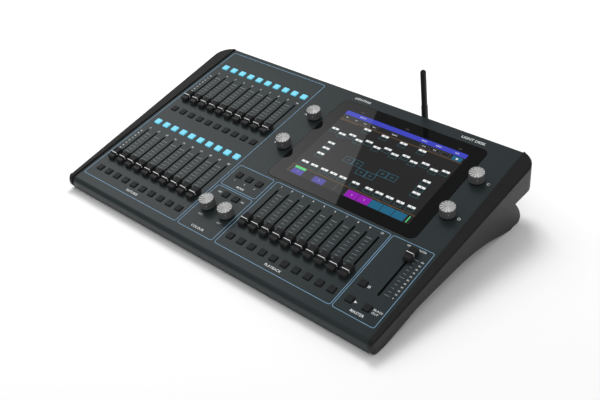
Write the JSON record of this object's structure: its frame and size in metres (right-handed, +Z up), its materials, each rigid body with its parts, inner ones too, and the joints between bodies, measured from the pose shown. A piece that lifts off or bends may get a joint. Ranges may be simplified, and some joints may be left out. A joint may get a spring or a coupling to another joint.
{
  "type": "lighting control desk",
  "caption": "Sloping stage lighting desk with fader banks, push keys, rotary encoders, a touch display and a hinged rear antenna.",
  "frame": {"origin": "on the ground under the middle of the desk's bounding box", "axes": "+X to the operator's right along the desk's width, +Y away from the operator, +Z up; the panel slopes up 11 degrees towards +Y"},
  "size_m": [0.5552, 0.3654, 0.1587],
  "materials": {
    "painted_steel": "fine-textured dark slate powder coat",
    "cheek_plastic": "fine-grained moulded black plastic",
    "touch_glass": "glossy black cover glass over an unlit border",
    "display_frame": "plated sheet steel",
    "circuit_board": "green solder mask with parts",
    "fader_plastic": "black moulded plastic",
    "knob_body": "dark grey ribbed rubber-feel plastic",
    "dark_key": "soft black silicone key",
    "lit_key": "translucent cyan key lit from below",
    "rocker_plastic": "glossy black switch plastic",
    "antenna_plastic": "matte black rubber-coated antenna",
    "legend_ink": "screen-printed pale grey legend",
    "outline_ink": "screen-printed light blue outline",
    "spun_aluminium": "spun aluminium cap with radial rays",
    "display_image": "lit display picture behind the glass",
    "steel_fastener": "plated screws, nuts and connector shells",
    "pointer_white": "white pointer line",
    "foot_rubber": "black rubber foot pad"
  },
  "bodies": {
    "desk": {"top_panel": "painted_steel", "bottom_pan": "painted_steel", "left_end_cheek": "cheek_plastic", "right_end_cheek": "cheek_plastic", "rear_panel": "painted_steel", "touch_glass": "touch_glass", "display_module": "display_frame", "fixture_fader_board": "circuit_board", "playback_fader_board": "circuit_board", "main_board": "circuit_board", "power_supply": "circuit_board"},
    "upper_fader_cap_1": {"upper_fader_cap_1": "fader_plastic"},
    "upper_fader_cap_2": {"upper_fader_cap_2": "fader_plastic"},
    "upper_fader_cap_3": {"upper_fader_cap_3": "fader_plastic"},
    "upper_fader_cap_4": {"upper_fader_cap_4": "fader_plastic"},
    "upper_fader_cap_5": {"upper_fader_cap_5": "fader_plastic"},
    "upper_fader_cap_6": {"upper_fader_cap_6": "fader_plastic"},
    "upper_fader_cap_7": {"upper_fader_cap_7": "fader_plastic"},
    "upper_fader_cap_8": {"upper_fader_cap_8": "fader_plastic"},
    "upper_fader_cap_9": {"upper_fader_cap_9": "fader_plastic"},
    "upper_fader_cap_10": {"upper_fader_cap_10": "fader_plastic"},
    "lower_fader_cap_1": {"lower_fader_cap_1": "fader_plastic"},
    "lower_fader_cap_2": {"lower_fader_cap_2": "fader_plastic"},
    "lower_fader_cap_3": {"lower_fader_cap_3": "fader_plastic"},
    "lower_fader_cap_4": {"lower_fader_cap_4": "fader_plastic"},
    "lower_fader_cap_5": {"lower_fader_cap_5": "fader_plastic"},
    "lower_fader_cap_6": {"lower_fader_cap_6": "fader_plastic"},
    "lower_fader_cap_7": {"lower_fader_cap_7": "fader_plastic"},
    "lower_fader_cap_8": {"lower_fader_cap_8": "fader_plastic"},
    "lower_fader_cap_9": {"lower_fader_cap_9": "fader_plastic"},
    "lower_fader_cap_10": {"lower_fader_cap_10": "fader_plastic"},
    "playback_fader_cap_1": {"playback_fader_cap_1": "fader_plastic"},
    "playback_fader_cap_2": {"playback_fader_cap_2": "fader_plastic"},
    "playback_fader_cap_3": {"playback_fader_cap_3": "fader_plastic"},
    "playback_fader_cap_4": {"playback_fader_cap_4": "fader_plastic"},
    "playback_fader_cap_5": {"playback_fader_cap_5": "fader_plastic"},
    "playback_fader_cap_6": {"playback_fader_cap_6": "fader_plastic"},
    "playback_fader_cap_7": {"playback_fader_cap_7": "fader_plastic"},
    "playback_fader_cap_8": {"playback_fader_cap_8": "fader_plastic"},
    "playback_fader_cap_9": {"playback_fader_cap_9": "fader_plastic"},
    "playback_fader_cap_10": {"playback_fader_cap_10": "fader_plastic"},
    "master_fader_cap": {"master_fader_cap": "fader_plastic"},
    "encoder_knob_a": {"encoder_knob_a": "knob_body"},
    "encoder_knob_b": {"encoder_knob_b": "knob_body"},
    "encoder_knob_c": {"encoder_knob_c": "knob_body"},
    "encoder_knob_d": {"encoder_knob_d": "knob_body"},
    "hue_knob": {"hue_knob": "knob_body"},
    "saturation_knob": {"saturation_knob": "knob_body"},
    "upper_select_keys": {"upper_select_keys": "lit_key"},
    "upper_flash_keys": {"upper_flash_keys": "dark_key"},
    "lower_select_keys": {"lower_select_keys": "lit_key"},
    "lower_flash_keys": {"lower_flash_keys": "dark_key"},
    "playback_flash_keys": {"playback_flash_keys": "dark_key"},
    "mode_and_colour_keys": {"mode_and_colour_keys": "dark_key"},
    "pause_key": {"pause_key": "dark_key"},
    "go_key": {"go_key": "dark_key"},
    "blackout_key": {"blackout_key": "dark_key"},
    "power_rocker": {"power_rocker": "rocker_plastic"},
    "antenna_knuckle": {"antenna_knuckle": "antenna_plastic"},
    "antenna_whip": {"antenna_whip": "antenna_plastic"}
  },
  "joints": [
    {"name": "upper_fader_1_slide", "type": "slide", "parent": "desk", "child": "upper_fader_cap_1", "axis": [0, 0.9816, 0.1908], "range_m": [0, 0.06]},
    {"name": "upper_fader_2_slide", "type": "slide", "parent": "desk", "child": "upper_fader_cap_2", "axis": [0, 0.9816, 0.1908], "range_m": [0, 0.06]},
    {"name": "upper_fader_3_slide", "type": "slide", "parent": "desk", "child": "upper_fader_cap_3", "axis": [0, 0.9816, 0.1908], "range_m": [0, 0.06]},
    {"name": "upper_fader_4_slide", "type": "slide", "parent": "desk", "child": "upper_fader_cap_4", "axis": [0, 0.9816, 0.1908], "range_m": [0, 0.06]},
    {"name": "upper_fader_5_slide", "type": "slide", "parent": "desk", "child": "upper_fader_cap_5", "axis": [0, 0.9816, 0.1908], "range_m": [0, 0.06]},
    {"name": "upper_fader_6_slide", "type": "slide", "parent": "desk", "child": "upper_fader_cap_6", "axis": [0, 0.9816, 0.1908], "range_m": [0, 0.06]},
    {"name": "upper_fader_7_slide", "type": "slide", "parent": "desk", "child": "upper_fader_cap_7", "axis": [0, 0.9816, 0.1908], "range_m": [0, 0.06]},
    {"name": "upper_fader_8_slide", "type": "slide", "parent": "desk", "child": "upper_fader_cap_8", "axis": [0, 0.9816, 0.1908], "range_m": [0, 0.06]},
    {"name": "upper_fader_9_slide", "type": "slide", "parent": "desk", "child": "upper_fader_cap_9", "axis": [0, 0.9816, 0.1908], "range_m": [0, 0.06]},
    {"name": "upper_fader_10_slide", "type": "slide", "parent": "desk", "child": "upper_fader_cap_10", "axis": [0, 0.9816, 0.1908], "range_m": [0, 0.06]},
    {"name": "lower_fader_1_slide", "type": "slide", "parent": "desk", "child": "lower_fader_cap_1", "axis": [0, 0.9816, 0.1908], "range_m": [0, 0.06]},
    {"name": "lower_fader_2_slide", "type": "slide", "parent": "desk", "child": "lower_fader_cap_2", "axis": [0, 0.9816, 0.1908], "range_m": [0, 0.06]},
    {"name": "lower_fader_3_slide", "type": "slide", "parent": "desk", "child": "lower_fader_cap_3", "axis": [0, 0.9816, 0.1908], "range_m": [0, 0.06]},
    {"name": "lower_fader_4_slide", "type": "slide", "parent": "desk", "child": "lower_fader_cap_4", "axis": [0, 0.9816, 0.1908], "range_m": [0, 0.06]},
    {"name": "lower_fader_5_slide", "type": "slide", "parent": "desk", "child": "lower_fader_cap_5", "axis": [0, 0.9816, 0.1908], "range_m": [0, 0.06]},
    {"name": "lower_fader_6_slide", "type": "slide", "parent": "desk", "child": "lower_fader_cap_6", "axis": [0, 0.9816, 0.1908], "range_m": [0, 0.06]},
    {"name": "lower_fader_7_slide", "type": "slide", "parent": "desk", "child": "lower_fader_cap_7", "axis": [0, 0.9816, 0.1908], "range_m": [0, 0.06]},
    {"name": "lower_fader_8_slide", "type": "slide", "parent": "desk", "child": "lower_fader_cap_8", "axis": [0, 0.9816, 0.1908], "range_m": [0, 0.06]},
    {"name": "lower_fader_9_slide", "type": "slide", "parent": "desk", "child": "lower_fader_cap_9", "axis": [0, 0.9816, 0.1908], "range_m": [0, 0.06]},
    {"name": "lower_fader_10_slide", "type": "slide", "parent": "desk", "child": "lower_fader_cap_10", "axis": [0, 0.9816, 0.1908], "range_m": [0, 0.06]},
    {"name": "playback_fader_1_slide", "type": "slide", "parent": "desk", "child": "playback_fader_cap_1", "axis": [0, 0.9816, 0.1908], "range_m": [0, 0.06]},
    {"name": "playback_fader_2_slide", "type": "slide", "parent": "desk", "child": "playback_fader_cap_2", "axis": [0, 0.9816, 0.1908], "range_m": [0, 0.06]},
    {"name": "playback_fader_3_slide", "type": "slide", "parent": "desk", "child": "playback_fader_cap_3", "axis": [0, 0.9816, 0.1908], "range_m": [0, 0.06]},
    {"name": "playback_fader_4_slide", "type": "slide", "parent": "desk", "child": "playback_fader_cap_4", "axis": [0, 0.9816, 0.1908], "range_m": [0, 0.06]},
    {"name": "playback_fader_5_slide", "type": "slide", "parent": "desk", "child": "playback_fader_cap_5", "axis": [0, 0.9816, 0.1908], "range_m": [0, 0.06]},
    {"name": "playback_fader_6_slide", "type": "slide", "parent": "desk", "child": "playback_fader_cap_6", "axis": [0, 0.9816, 0.1908], "range_m": [0, 0.06]},
    {"name": "playback_fader_7_slide", "type": "slide", "parent": "desk", "child": "playback_fader_cap_7", "axis": [0, 0.9816, 0.1908], "range_m": [0, 0.06]},
    {"name": "playback_fader_8_slide", "type": "slide", "parent": "desk", "child": "playback_fader_cap_8", "axis": [0, 0.9816, 0.1908], "range_m": [0, 0.06]},
    {"name": "playback_fader_9_slide", "type": "slide", "parent": "desk", "child": "playback_fader_cap_9", "axis": [0, 0.9816, 0.1908], "range_m": [0, 0.06]},
    {"name": "playback_fader_10_slide", "type": "slide", "parent": "desk", "child": "playback_fader_cap_10", "axis": [0, 0.9816, 0.1908], "range_m": [0, 0.06]},
    {"name": "master_fader_slide", "type": "slide", "parent": "desk", "child": "master_fader_cap", "axis": [0, 0.9816, 0.1908], "range_m": [-0.06, 0]},
    {"name": "encoder_a_turn", "type": "hinge", "parent": "desk", "child": "encoder_knob_a", "pos_m": [-0.03168, 0.09018, 0.07191], "axis": [0, -0.1908, 0.9816], "continuous": true},
    {"name": "encoder_b_turn", "type": "hinge", "parent": "desk", "child": "encoder_knob_b", "pos_m": [-0.03168, 0.02169, 0.0586], "axis": [0, -0.1908, 0.9816], "continuous": true},
    {"name": "encoder_c_turn", "type": "hinge", "parent": "desk", "child": "encoder_knob_c", "pos_m": [0.23033, 0.09018, 0.07191], "axis": [0, -0.1908, 0.9816], "continuous": true},
    {"name": "encoder_d_turn", "type": "hinge", "parent": "desk", "child": "encoder_knob_d", "pos_m": [0.23033, 0.02169, 0.0586], "axis": [0, -0.1908, 0.9816], "continuous": true},
    {"name": "hue_turn", "type": "hinge", "parent": "desk", "child": "hue_knob", "pos_m": [-0.04308, -0.12002, 0.03105], "axis": [0, -0.1908, 0.9816], "continuous": true},
    {"name": "saturation_turn", "type": "hinge", "parent": "desk", "child": "saturation_knob", "pos_m": [-0.00997, -0.12002, 0.03105], "axis": [0, -0.1908, 0.9816], "continuous": true},
    {"name": "upper_select_keys_press", "type": "slide", "parent": "desk", "child": "upper_select_keys", "axis": [0, -0.1908, 0.9816], "range_m": [-0.0012, 0], "stiffness_N_per_m": 900, "springref_m": 0.0015},
    {"name": "upper_flash_keys_press", "type": "slide", "parent": "desk", "child": "upper_flash_keys", "axis": [0, -0.1908, 0.9816], "range_m": [-0.0012, 0], "stiffness_N_per_m": 900, "springref_m": 0.0015},
    {"name": "lower_select_keys_press", "type": "slide", "parent": "desk", "child": "lower_select_keys", "axis": [0, -0.1908, 0.9816], "range_m": [-0.0012, 0], "stiffness_N_per_m": 900, "springref_m": 0.0015},
    {"name": "lower_flash_keys_press", "type": "slide", "parent": "desk", "child": "lower_flash_keys", "axis": [0, -0.1908, 0.9816], "range_m": [-0.0012, 0], "stiffness_N_per_m": 900, "springref_m": 0.0015},
    {"name": "playback_flash_keys_press", "type": "slide", "parent": "desk", "child": "playback_flash_keys", "axis": [0, -0.1908, 0.9816], "range_m": [-0.0012, 0], "stiffness_N_per_m": 900, "springref_m": 0.0015},
    {"name": "mode_and_colour_keys_press", "type": "slide", "parent": "desk", "child": "mode_and_colour_keys", "axis": [0, -0.1908, 0.9816], "range_m": [-0.0012, 0], "stiffness_N_per_m": 900, "springref_m": 0.0015},
    {"name": "pause_key_press", "type": "slide", "parent": "desk", "child": "pause_key", "axis": [0, -0.1908, 0.9816], "range_m": [-0.0012, 0], "stiffness_N_per_m": 300, "springref_m": 0.0015},
    {"name": "go_key_press", "type": "slide", "parent": "desk", "child": "go_key", "axis": [0, -0.1908, 0.9816], "range_m": [-0.0012, 0], "stiffness_N_per_m": 300, "springref_m": 0.0015},
    {"name": "blackout_key_press", "type": "slide", "parent": "desk", "child": "blackout_key", "axis": [0, -0.1908, 0.9816], "range_m": [-0.0012, 0], "stiffness_N_per_m": 300, "springref_m": 0.0015},
    {"name": "power_rocker_tip", "type": "hinge", "parent": "desk", "child": "power_rocker", "pos_m": [0.19, 0.15546, 0.06423], "axis": [1, 0, 0], "range_deg": [-14, 0]},
    {"name": "antenna_swivel", "type": "hinge", "parent": "desk", "child": "antenna_knuckle", "pos_m": [0.0994, 0.16528, 0.06613], "axis": [0, 0.9816, 0.1908], "continuous": true},
    {"name": "antenna_tilt", "type": "hinge", "parent": "antenna_knuckle", "child": "antenna_whip", "pos_m": [0.0994, 0.17804, 0.06861], "axis": [1, 0, 0], "range_deg": [-90, 0]}
  ]
}
